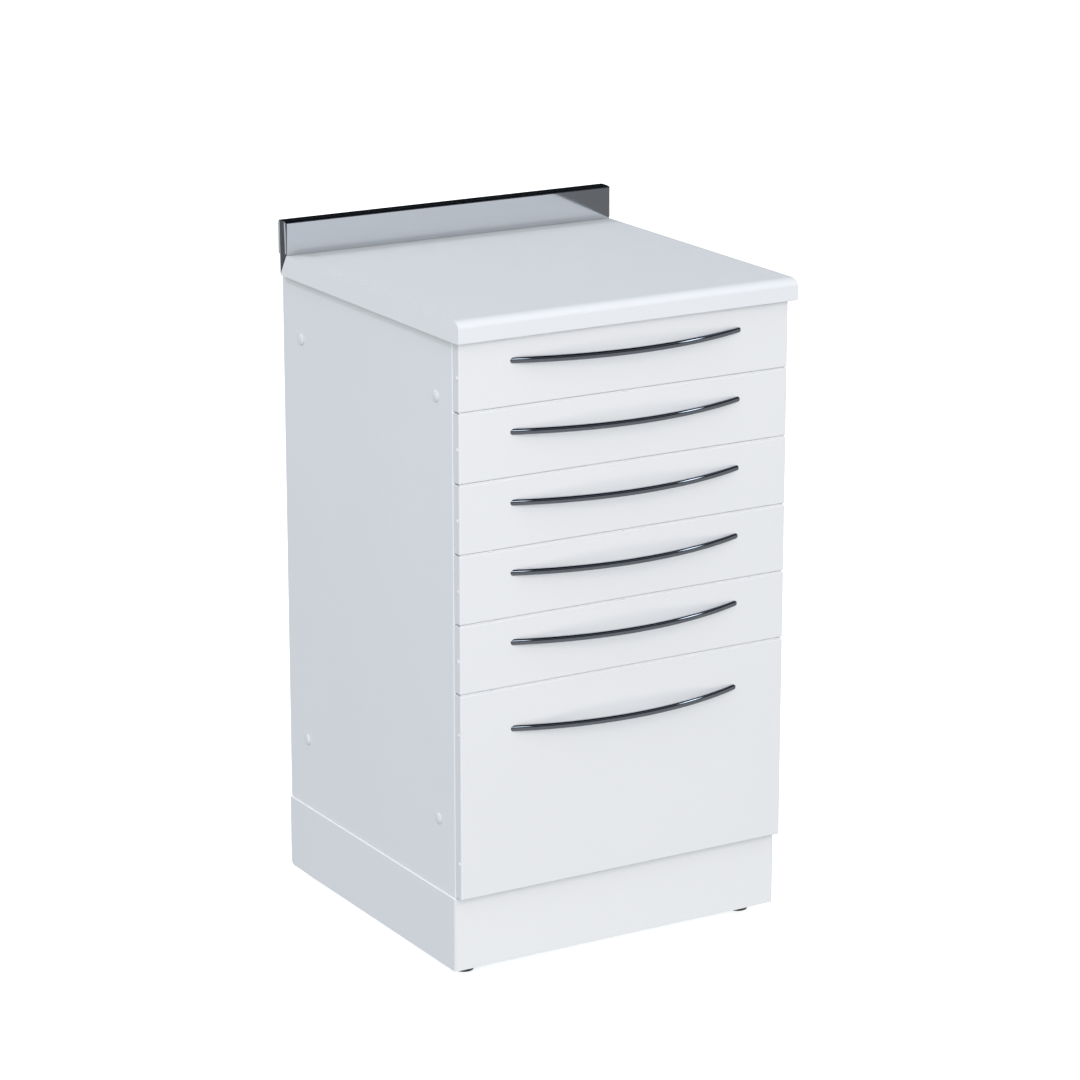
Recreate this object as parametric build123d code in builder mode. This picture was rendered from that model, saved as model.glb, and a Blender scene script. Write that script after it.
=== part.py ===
from build123d import *
import os

os.makedirs("parts", exist_ok=True)

# ----------------------------------------------------------------------------
# Driving dimensions, millimetres.
# Frame: origin on the floor under the middle of the overall box,
# +X to the user's right, +Y from the user into the cabinet, +Z up.
# ----------------------------------------------------------------------------
MODULE = 90.0            # height of one drawer module
BODY_W = 480.0           # carcass width
YF = -216.8              # plane of the drawer faces
BODY_FRONT = YF + 15.5   # front edge of the side panels
BODY_BACK = YF + 468.1   # rear edge of the side panels
FOOT_GAP = 14.0          # floor to the underside of the plinth
PLINTH_TOP = 112.7
PLINTH_W = 483.0         # the plinth stands 1.5 mm proud on each side
BODY_BOTTOM = 113.1
WT_BOTTOM = 834.5        # underside of the worktop
WT_THICK = 28.0
WT_TOP = WT_BOTTOM + WT_THICK
WT_W = 494.0
WT_FRONT = YF - 11.5
WT_BACK_TOP = YF + 441.0
WT_BACK_BOTTOM = YF + 459.3
UP_TOP = WT_TOP + 45.0   # top of the upstand
SHEET = 1.2              # body sheet steel

SEAMS = [745.5, 655.5, 565.5, 475.5, 385.5]      # joints between the fronts
GAP = 1.1                                        # half of the gap at a seam
FRONT_TOP = 832.5
FRONT_BOTTOM = 114.9
FRONT_T = 14.0           # thickness of a drawer front
FRONT_W = 480.1

# bottom and top of every drawer front, top drawer first
fronts = []
for i in range(6):
    zt = FRONT_TOP if i == 0 else SEAMS[i - 1] - GAP
    zb = FRONT_BOTTOM if i == 5 else SEAMS[i] + GAP
    fronts.append((zb, zt))

BOX_W = 424.6            # outside width of a drawer box
BOX_T = 1.0
BOX_Y0 = YF + 14.0
BOX_Y1 = YF + 440.0
BOX_LIFT = 11.0          # underside of the box above the front's lower edge
BOX_H = [60.0, 60.0, 60.0, 60.0, 60.0, 190.0]
HEM = 5.0

RUN_X = 225.0            # mounting plane of the runners, from the middle
RUN_L = 400.0
RUN_Y0 = YF + 18.0
RUN_LIFT = 33.0          # runner axis above the front's lower edge
RUN_T = 1.2

HANDLE_L = 336.5
HANDLE_OUT = 34.7        # how far the bow stands off the face
HANDLE_DEEP = 5.2
HANDLE_H = 8.4
HANDLE_DROP = 31.5       # bow centre below the top of its module
handle_z = [WT_BOTTOM + 1.0 - HANDLE_DROP] + [s - HANDLE_DROP for s in SEAMS[:4]] + [SEAMS[4] - 54.6]
handle_z[0] = SEAMS[0] + 58.5

POST_Y = [YF + 57.4, YF + 416.0]                 # the four side posts
CAP_Z = [756.3, 207.6]                           # the screws that hold them
FOOT_X = 209.4
FOOT_Y = [YF + 50.3, YF + 433.0]
BRK_Z = FOOT_GAP + 1.5                           # underside of the foot brackets
M5_R = 2.5
M5_HOLE = 2.55
M10_R = 5.0
M10_HOLE = 5.05


# ----------------------------------------------------------------------------
# Side panels: folded sheet, rounded front edge, flanges all round
# ----------------------------------------------------------------------------
xo = BODY_W / 2
for name, s in (("side_panel_left", -1), ("side_panel_right", 1)):
    with BuildPart() as side_panel:
        with BuildSketch(Plane.XY.offset(BODY_BOTTOM)):
            with BuildLine():
                FilletPolyline(
                    (s * (xo - 13.6), BODY_FRONT + 10.5), (s * (xo - 13.6), BODY_FRONT),
                    (s * xo, BODY_FRONT), (s * xo, BODY_BACK), (s * (xo - 14.8), BODY_BACK),
                    radius=2.0)
                offset(amount=SHEET, side=Side.RIGHT if s < 0 else Side.LEFT)
            make_face()
        extrude(amount=WT_BOTTOM - BODY_BOTTOM)
        # top and bottom flanges
        for z in (BODY_BOTTOM, WT_BOTTOM - SHEET):
            with BuildSketch(Plane.XY.offset(z)):
                with Locations((s * (xo - (SHEET + 14.8 - 0.2) / 2 - 0.0), (BODY_FRONT + 12.0 + BODY_BACK - SHEET) / 2)):
                    Rectangle(14.8 - SHEET + 0.2, BODY_BACK - SHEET - BODY_FRONT - 12.0)
            extrude(amount=SHEET)
        # clearance holes for the post screws
        for y in POST_Y:
            for z in CAP_Z:
                with BuildSketch(Plane(origin=(s * (xo + 1), y, z), x_dir=(0, 1, 0), z_dir=(-s, 0, 0))):
                    Circle(M5_HOLE)
                extrude(amount=4, mode=Mode.SUBTRACT)
    side_panel.part.label = name
    export_step(side_panel.part, f"parts/{name}.step")

# ----------------------------------------------------------------------------
# Back panel: flat sheet with stiffening swages
# ----------------------------------------------------------------------------
with BuildPart() as back_panel:
    with BuildSketch(Plane.XZ.offset(-(BODY_BACK - SHEET))):
        with Locations((0, (BODY_BOTTOM + 3 + WT_BOTTOM - 2) / 2)):
            Rectangle(BODY_W - 5.6, WT_BOTTOM - 2 - BODY_BOTTOM - 3)
    extrude(amount=1.0)
back_panel.part.label = "back_panel"
export_step(back_panel.part, "parts/back_panel.step")

# ----------------------------------------------------------------------------
# Bottom panel: tray with a front and a rear lip
# ----------------------------------------------------------------------------
bz = BODY_BOTTOM + SHEET
with BuildPart() as bottom_panel:
    with BuildSketch(Plane.YZ.offset(-(xo - 15.0))):
        with BuildLine():
            FilletPolyline(
                (BODY_FRONT + 3.0, bz - 1.0), (BODY_FRONT + 3.0, bz + SHEET),
                (BODY_BACK - 4.0, bz + SHEET), (BODY_BACK - 4.0, bz + 16.0), radius=1.4)
            offset(amount=SHEET, side=Side.RIGHT)
        make_face()
    extrude(amount=BODY_W - 30.0)
bottom_panel.part.label = "bottom_panel"
export_step(bottom_panel.part, "parts/bottom_panel.step")

# ----------------------------------------------------------------------------
# Side posts: four lipped channels that stiffen the sides and carry the runners
# ----------------------------------------------------------------------------
px0 = xo - SHEET            # against the skin
px1 = RUN_X                 # runner plane
post_z0 = BODY_BOTTOM + SHEET
post_z1 = WT_BOTTOM - SHEET
with BuildPart() as side_posts:
    for s in (-1, 1):
        for y in POST_Y:
            with BuildSketch(Plane.XY.offset(post_z0)):
                with BuildLine():
                    FilletPolyline(
                        (s * px1, y - 9.0), (s * px1, y - 20.0), (s * px0, y - 20.0),
                        (s * px0, y + 20.0), (s * px1, y + 20.0), (s * px1, y + 9.0), radius=2.0)
                    offset(amount=1.5, side=Side.RIGHT if s < 0 else Side.LEFT)
                make_face()
            extrude(amount=post_z1 - post_z0)
            for z in CAP_Z:
                with BuildSketch(Plane(origin=(s * (px0 + 2), y, z), x_dir=(0, 1, 0), z_dir=(-s, 0, 0))):
                    Circle(M5_HOLE)
                extrude(amount=6, mode=Mode.SUBTRACT)
            with BuildSketch(Plane(origin=(s * (px1 - 1), y + 13.0, WT_BOTTOM - 9.5), x_dir=(0, 1, 0), z_dir=(s, 0, 0))):
                Circle(M5_HOLE)
            extrude(amount=6, mode=Mode.SUBTRACT)
side_posts.part.label = "side_posts"
export_step(side_posts.part, "parts/side_posts.step")

# ----------------------------------------------------------------------------
# Worktop rails: a front and a rear cross channel with tabs down to the posts
# ----------------------------------------------------------------------------
RAIL_X = RUN_X - 0.2
WT_SCREW_X = 150.0
with BuildPart() as worktop_rails:
    for y in POST_Y:
        with BuildSketch(Plane.YZ.offset(-RAIL_X)):
            with BuildLine():
                FilletPolyline(
                    (y - 20.0, WT_BOTTOM - 11.0), (y - 20.0, WT_BOTTOM),
                    (y + 20.0, WT_BOTTOM), (y + 20.0, WT_BOTTOM - 11.0), radius=2.0)
                offset(amount=1.5, side=Side.RIGHT)
            make_face()
        extrude(amount=2 * RAIL_X)
        for s in (-1, 1):
            with BuildSketch(Plane.XY.offset(WT_BOTTOM - 18.0)):
                with Locations((s * (RAIL_X - 0.75), y)):
                    Rectangle(1.5, 37.0)
            extrude(amount=17.0)
            with BuildSketch(Plane(origin=(s * (RAIL_X - 3), y + 13.0, WT_BOTTOM - 9.5), x_dir=(0, 1, 0), z_dir=(s, 0, 0))):
                Circle(M5_HOLE)
            extrude(amount=6, mode=Mode.SUBTRACT)
            with BuildSketch(Plane.XY.offset(WT_BOTTOM - 4.0)):
                with Locations((s * WT_SCREW_X, y)):
                    Circle(M5_HOLE)
            extrude(amount=6.0, mode=Mode.SUBTRACT)
worktop_rails.part.label = "worktop_rails"
export_step(worktop_rails.part, "parts/worktop_rails.step")

# ----------------------------------------------------------------------------
# Carcass screws: one size of M5 x 12 pan head screw holds the posts, the rail
# tabs and the worktop
# ----------------------------------------------------------------------------
screws = []     # underside of the head, direction of the shank
for s in (-1, 1):
    for y in POST_Y:
        for z in CAP_Z:
            screws.append(((s * xo, y, z), (-s, 0, 0)))
        screws.append(((s * (RAIL_X - 1.5), y + 13.0, WT_BOTTOM - 9.5), (s, 0, 0)))
        screws.append(((s * WT_SCREW_X, y, WT_BOTTOM - 1.5), (0, 0, 1)))
with BuildPart() as carcass_screws:
    for origin, way in screws:
        seat = Plane(origin=origin, x_dir=(0, 1, 0), z_dir=way)
        with BuildSketch(seat):
            Circle(M5_R)
        extrude(amount=12.0)
        with BuildSketch(seat):
            Circle(4.4)
        extrude(amount=-1.8)
carcass_screws.part.label = "carcass_screws"
export_step(carcass_screws.part, "parts/carcass_screws.step")

# ----------------------------------------------------------------------------
# Side caps: eight domed covers over the post screws
# ----------------------------------------------------------------------------
CAP_R = 7.3
CAP_OUT = 2.9
with BuildPart() as side_caps:
    for s in (-1, 1):
        for y in POST_Y:
            for z in CAP_Z:
                with BuildSketch(Plane(origin=(s * xo, y, z), x_dir=(0, 0, 1), z_dir=(0, s, 0))):
                    Polygon(
                        (0, 2.0), (0, CAP_OUT), (1.4, 2.83), (3.4, 2.5), (5.4, 1.85), (6.7, 1.15),
                        (CAP_R, 0.6), (CAP_R, 0), (4.7, 0), (4.7, 2.0), align=None)
                revolve(axis=Axis((s * xo, y, z), (1, 0, 0)), revolution_arc=360)
side_caps.part.label = "side_caps"
export_step(side_caps.part, "parts/side_caps.step")

# ----------------------------------------------------------------------------
# Plinth: one folded sheet round the front and both sides
# ----------------------------------------------------------------------------
PX = PLINTH_W / 2
PL_T = 1.5
PL_BACK = BODY_BACK
with BuildPart() as plinth_shell:
    with BuildSketch(Plane.XY.offset(FOOT_GAP)):
        with BuildLine():
            FilletPolyline(
                (-PX, PL_BACK), (-PX, BODY_FRONT), (PX, BODY_FRONT), (PX, PL_BACK), radius=2.5)
            offset(amount=PL_T, side=Side.LEFT)
        make_face()
    extrude(amount=PLINTH_TOP - FOOT_GAP)
    # inward flanges along the top and the bottom edge
    for z, w in ((PLINTH_TOP - PL_T, 16.0), (FOOT_GAP, 14.0)):
        with BuildSketch(Plane.XY.offset(z)):
            with Locations((0, BODY_FRONT + (w + 1.0) / 2)):
                Rectangle(2 * PX - 6.0, w - 1.0)
            for s in (-1, 1):
                with Locations((s * (PX - (w + 1.0) / 2), (BODY_FRONT + 4 + PL_BACK - 22) / 2)):
                    Rectangle(w - 1.0, PL_BACK - 22 - BODY_FRONT - 4)
        extrude(amount=PL_T)
    # eased lower rear corners
    for s in (-1, 1):
        with BuildSketch(Plane.YZ.offset(s * (PX + 1))):
            Polygon((PL_BACK + 1, FOOT_GAP - 1), (PL_BACK + 1, FOOT_GAP + 5.0), (PL_BACK - 5.0, FOOT_GAP - 1), align=None)
        extrude(amount=-s * 4, mode=Mode.SUBTRACT)
    # rounded upper edge of the fold
    rim = plinth_shell.edges().filter_by(lambda e: e.length > 3 and (e @ 0.5).Z > PLINTH_TOP - 0.01 and (
        abs((e @ 0.5).X) > PX - 1.0 or (e @ 0.5).Y < BODY_FRONT + 1.0))
    fillet(rim, radius=1.3)
plinth_shell.part.label = "plinth_shell"
export_step(plinth_shell.part, "parts/plinth_shell.step")

# plinth rear rail: a channel between the two ends of the folded sheet
with BuildPart() as plinth_rear_rail:
    with BuildSketch(Plane.YZ.offset(-(PX - PL_T - 0.2))):
        with BuildLine():
            FilletPolyline(
                (PL_BACK - 18.0, PLINTH_TOP), (PL_BACK - 2.0, PLINTH_TOP),
                (PL_BACK - 2.0, FOOT_GAP + 4.0), (PL_BACK - 18.0, FOOT_GAP + 4.0), radius=2.4)
            offset(amount=PL_T, side=Side.RIGHT)
        make_face()
    extrude(amount=2 * (PX - PL_T - 0.2))
plinth_rear_rail.part.label = "plinth_rear_rail"
export_step(plinth_rear_rail.part, "parts/plinth_rear_rail.step")

# ----------------------------------------------------------------------------
# Foot brackets: four corner plates with a welded threaded boss
# ----------------------------------------------------------------------------
with BuildPart() as foot_brackets:
    for s in (-1, 1):
        for y in FOOT_Y:
            z0 = BRK_Z if y == FOOT_Y[0] else BRK_Z
            with BuildSketch(Plane.XY.offset(z0)):
                with Locations((s * (PX - PL_T - 29.2), y)):
                    RectangleRounded(57.6, 56.0, 3.0)
            extrude(amount=2.5)
            with BuildSketch(Plane.XY.offset(z0 + 2.5)):
                with Locations((s * FOOT_X, y)):
                    RegularPolygon(10.5, 6)
            extrude(amount=10.0)
            with BuildSketch(Plane.XY.offset(z0 - 1)):
                with Locations((s * FOOT_X, y)):
                    Circle(M10_HOLE)
            extrude(amount=16.0, mode=Mode.SUBTRACT)
foot_brackets.part.label = "foot_brackets"
export_step(foot_brackets.part, "parts/foot_brackets.step")

# ----------------------------------------------------------------------------
# Levelling feet: a plastic glide pad and a threaded steel stem each
# ----------------------------------------------------------------------------
PAD_R = 13.0
PAD_H = 8.2
names = []
k = 0
for y in FOOT_Y:
    for s in (-1, 1):
        k += 1
        with BuildPart() as foot_pad:
            with BuildSketch(Plane(origin=(s * FOOT_X, y, 0), x_dir=(1, 0, 0), z_dir=(0, -1, 0))):
                with BuildLine():
                    Polyline((0, 0), (PAD_R - 1.6, 0))
                    ThreePointArc((PAD_R - 1.6, 0), (PAD_R - 0.47, 0.47), (PAD_R, 1.6))
                    Polyline((PAD_R, 1.6), (PAD_R, 4.4))
                    ThreePointArc((PAD_R, 4.4), (PAD_R - 0.9, 6.0), (PAD_R - 3.0, 6.8))
                    Polyline((PAD_R - 3.0, 6.8), (7.6, PAD_H), (M10_HOLE, PAD_H), (M10_HOLE, 2.5), (0, 2.5), (0, 0))
                make_face()
            revolve(axis=Axis((s * FOOT_X, y, 0), (0, 0, 1)), revolution_arc=360)
        foot_pad.part.label = f"foot_pad_{k}"
        export_step(foot_pad.part, f"parts/foot_pad_{k}.step")

        with BuildPart() as foot_stem:
            with BuildSketch(Plane.XY.offset(3.0)):
                with Locations((s * FOOT_X, y)):
                    Circle(M10_R)
            extrude(amount=45.0)
            # hexagon for the spanner, between pad and bracket
            with BuildSketch(Plane.XY.offset(PAD_H + 0.4)):
                with Locations((s * FOOT_X, y)):
                    RegularPolygon(9.0, 6)
            extrude(amount=BRK_Z - 0.3 - PAD_H - 0.4)
            chamfer(foot_stem.faces().sort_by(Axis.Z)[-1].edges(), 1.0)
        foot_stem.part.label = f"foot_stem_{k}"
        export_step(foot_stem.part, f"parts/foot_stem_{k}.step")

# ----------------------------------------------------------------------------
# Worktop: 28 mm board with a rounded front and a slanted rear edge, faced with
# 0.8 mm laminate on top, round the front and on both ends
# ----------------------------------------------------------------------------
HPL = 0.8
NOSE_Y = 14.5            # depth of the rounded front, measured on the top
NOSE_Z = 9.0             # and down the face
WRAP = 26.0              # laminate return under the front
WT_X0 = WT_W / 2 - HPL   # half length of board and top sheet

slope_y = (WT_BACK_BOTTOM - WT_BACK_TOP) / WT_THICK
with BuildPart() as worktop_core:
    with BuildSketch(Plane.YZ.offset(-WT_X0)):
        with BuildLine():
            Polyline(
                (WT_FRONT + NOSE_Y, WT_TOP - HPL), (WT_BACK_TOP + slope_y * HPL, WT_TOP - HPL),
                (WT_BACK_BOTTOM, WT_BOTTOM), (WT_FRONT + WRAP, WT_BOTTOM),
                (WT_FRONT + WRAP, WT_BOTTOM + HPL), (WT_FRONT + HPL, WT_BOTTOM + HPL),
                (WT_FRONT + HPL, WT_TOP - NOSE_Z))
            EllipticalCenterArc((WT_FRONT + NOSE_Y, WT_TOP - NOSE_Z), NOSE_Y - HPL, NOSE_Z - HPL, 90, arc_size=90)
        make_face()
    extrude(amount=2 * WT_X0)
    for s in (-1, 1):
        for y in POST_Y:
            with BuildSketch(Plane.XY.offset(WT_BOTTOM - 1)):
                with Locations((s * WT_SCREW_X, y)):
                    Circle(M5_HOLE)
            extrude(amount=13.0, mode=Mode.SUBTRACT)
worktop_core.part.label = "worktop_core"
export_step(worktop_core.part, "parts/worktop_core.step")

with BuildPart() as worktop_laminate:
    # the formed sheet
    with BuildSketch(Plane.YZ.offset(-WT_X0)):
        with BuildLine():
            Polyline(
                (WT_FRONT + NOSE_Y, WT_TOP), (WT_BACK_TOP, WT_TOP),
                (WT_BACK_TOP + slope_y * HPL, WT_TOP - HPL), (WT_FRONT + NOSE_Y, WT_TOP - HPL))
            EllipticalCenterArc((WT_FRONT + NOSE_Y, WT_TOP - NOSE_Z), NOSE_Y - HPL, NOSE_Z - HPL, 90, arc_size=90)
            Polyline((WT_FRONT + HPL, WT_TOP - NOSE_Z), (WT_FRONT + HPL, WT_BOTTOM + HPL),
                     (WT_FRONT + WRAP, WT_BOTTOM + HPL), (WT_FRONT + WRAP, WT_BOTTOM),
                     (WT_FRONT + 1.2, WT_BOTTOM))
            ThreePointArc((WT_FRONT + 1.2, WT_BOTTOM), (WT_FRONT + 0.35, WT_BOTTOM + 0.35), (WT_FRONT, WT_BOTTOM + 1.2))
            Line((WT_FRONT, WT_BOTTOM + 1.2), (WT_FRONT, WT_TOP - NOSE_Z))
            EllipticalCenterArc((WT_FRONT + NOSE_Y, WT_TOP - NOSE_Z), NOSE_Y, NOSE_Z, 90, arc_size=90)
        make_face()
    extrude(amount=2 * WT_X0)
    # the two end strips, glued on with a hair of glue line
    for s in (-1, 1):
        with BuildSketch(Plane.YZ.offset(s * (WT_X0 + 0.03))):
            with BuildLine():
                Polyline((WT_FRONT + NOSE_Y, WT_TOP), (WT_BACK_TOP, WT_TOP), (WT_BACK_BOTTOM, WT_BOTTOM),
                         (WT_FRONT + 1.2, WT_BOTTOM))
                ThreePointArc((WT_FRONT + 1.2, WT_BOTTOM), (WT_FRONT + 0.35, WT_BOTTOM + 0.35), (WT_FRONT, WT_BOTTOM + 1.2))
                Line((WT_FRONT, WT_BOTTOM + 1.2), (WT_FRONT, WT_TOP - NOSE_Z))
                EllipticalCenterArc((WT_FRONT + NOSE_Y, WT_TOP - NOSE_Z), NOSE_Y, NOSE_Z, 90, arc_size=90)
            make_face()
        extrude(amount=s * (HPL - 0.03))
worktop_laminate.part.label = "worktop_laminate"
export_step(worktop_laminate.part, "parts/worktop_laminate.step")

# ----------------------------------------------------------------------------
# Upstand: hollow extruded profile seated on the slanted rear edge of the board
# ----------------------------------------------------------------------------
UP_X = WT_W / 2 - 0.9    # half length of the profile, the end caps add the rest
UP_T = 1.6
UP_FACE_BOTTOM = WT_BACK_TOP + 1.6  # a fine joint is left along the worktop
UP_FACE_Z = WT_TOP - WT_THICK * 1.6 / (WT_BACK_BOTTOM - WT_BACK_TOP)
UP_FACE_TOP = WT_BACK_TOP + 0.2     # the face leans forward by 1.4 mm
UP_BACK = YF + 459.3
UP_REAR = YF + 463.4                # back of the wall lip
seat_n = (WT_THICK ** 2 + (WT_BACK_BOTTOM - WT_BACK_TOP) ** 2) ** 0.5
with BuildPart() as upstand_profile:
    with BuildSketch(Plane.YZ.offset(-UP_X)):
        with BuildLine():
            Polyline(
                (UP_FACE_BOTTOM, UP_FACE_Z), (UP_FACE_TOP, UP_TOP - 0.5), (UP_REAR, UP_TOP - 0.5), (UP_REAR, WT_TOP + 1.0),
                (UP_BACK, WT_TOP + 1.0), (WT_BACK_BOTTOM, WT_BOTTOM), (UP_FACE_BOTTOM, UP_FACE_Z))
        make_face()
        fillet(vertices().group_by(Axis.Y)[-1].sort_by(Axis.X)[0], radius=2.2)
        # two thin ribs along the top
        for y in (UP_FACE_TOP + 7.0, UP_FACE_TOP + 13.2):
            with Locations((y, UP_TOP - 0.35)):
                Rectangle(0.8, 0.7)
        # the hollow
        with BuildLine():
            Polyline(
                (UP_FACE_BOTTOM + 2.0, WT_TOP + 1.2), (UP_FACE_TOP + UP_T, UP_TOP - 2.4),
                (UP_BACK - UP_T, UP_TOP - 2.4), (UP_BACK - UP_T, WT_TOP - 8.0),
                (WT_BACK_TOP + 8.0, WT_TOP - 8.0), (UP_FACE_BOTTOM + 2.0, WT_TOP + 1.2))
        make_face(mode=Mode.SUBTRACT)
    extrude(amount=2 * UP_X)
    # rounded ends of the face
    face_ends = upstand_profile.edges().filter_by(lambda e: abs(abs(e.center().X) - UP_X) < 0.01
                                                  and abs(e.center().Y - (UP_FACE_BOTTOM + UP_FACE_TOP) / 2) < 1.0
                                                  and e.length > 30)
    fillet(face_ends, radius=1.5)
upstand_profile.part.label = "upstand_profile"
export_step(upstand_profile.part, "parts/upstand_profile.step")

with BuildPart() as upstand_end_caps:
    for s in (-1, 1):
        with BuildSketch(Plane.YZ.offset(s * UP_X)):
            with BuildLine():
                Polyline(
                    (UP_FACE_BOTTOM + 2.2, WT_TOP + 0.6), (UP_FACE_TOP + 3.0, UP_TOP - 1.2), (UP_BACK, UP_TOP - 1.2),
                    (UP_BACK, WT_BOTTOM + 1.4), (UP_FACE_BOTTOM + 2.2, WT_TOP + 0.6))
            make_face()
        extrude(amount=s * 0.9)
upstand_end_caps.part.label = "upstand_end_caps"
export_step(upstand_end_caps.part, "parts/upstand_end_caps.step")

# ----------------------------------------------------------------------------
# Runners. Three nested channels: outer on the posts, middle, inner on the box
# ----------------------------------------------------------------------------
run_z = [zb + RUN_LIFT for zb, zt in fronts]
OUT_H, MID_H, INN_H = 17.5, 14.9, 12.3
BOX_X = BOX_W / 2                   # outer face of the box sides, 212.3
with BuildPart() as runner_outer:
    for z in run_z:
        for s in (-1, 1):
            with BuildSketch(Plane.XZ.offset(-RUN_Y0)):
                with BuildLine():
                    FilletPolyline(
                        (s * (RUN_X - 9.0), z - OUT_H), (s * RUN_X, z - OUT_H),
                        (s * RUN_X, z + OUT_H), (s * (RUN_X - 9.0), z + OUT_H), radius=2.0)
                    offset(amount=RUN_T, side=Side.LEFT if s > 0 else Side.RIGHT)
                make_face()
            extrude(amount=-RUN_L)
runner_outer.part.label = "runner_outer"
export_step(runner_outer.part, "parts/runner_outer.step")

for n, z in enumerate(run_z, 1):
    with BuildPart() as runner_mid:
        for s in (-1, 1):
            with BuildSketch(Plane.XZ.offset(-RUN_Y0)):
                with BuildLine():
                    FilletPolyline(
                        (s * (RUN_X - 10.6), z - MID_H), (s * (RUN_X - 2.2), z - MID_H),
                        (s * (RUN_X - 2.2), z + MID_H), (s * (RUN_X - 10.6), z + MID_H), radius=2.0)
                    offset(amount=RUN_T, side=Side.LEFT if s > 0 else Side.RIGHT)
                make_face()
            extrude(amount=-RUN_L)
    runner_mid.part.label = f"runner_mid_{n}"
    export_step(runner_mid.part, f"parts/runner_mid_{n}.step")

    with BuildPart() as runner_inner:
        for s in (-1, 1):
            with BuildSketch(Plane.XZ.offset(-RUN_Y0)):
                with BuildLine():
                    FilletPolyline(
                        (s * (BOX_X + 7.2), z - INN_H), (s * BOX_X, z - INN_H),
                        (s * BOX_X, z + INN_H), (s * (BOX_X + 7.2), z + INN_H), radius=2.0)
                    offset(amount=RUN_T, side=Side.RIGHT if s > 0 else Side.LEFT)
                make_face()
            extrude(amount=-RUN_L)
    runner_inner.part.label = f"runner_inner_{n}"
    export_step(runner_inner.part, f"parts/runner_inner_{n}.step")

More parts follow.
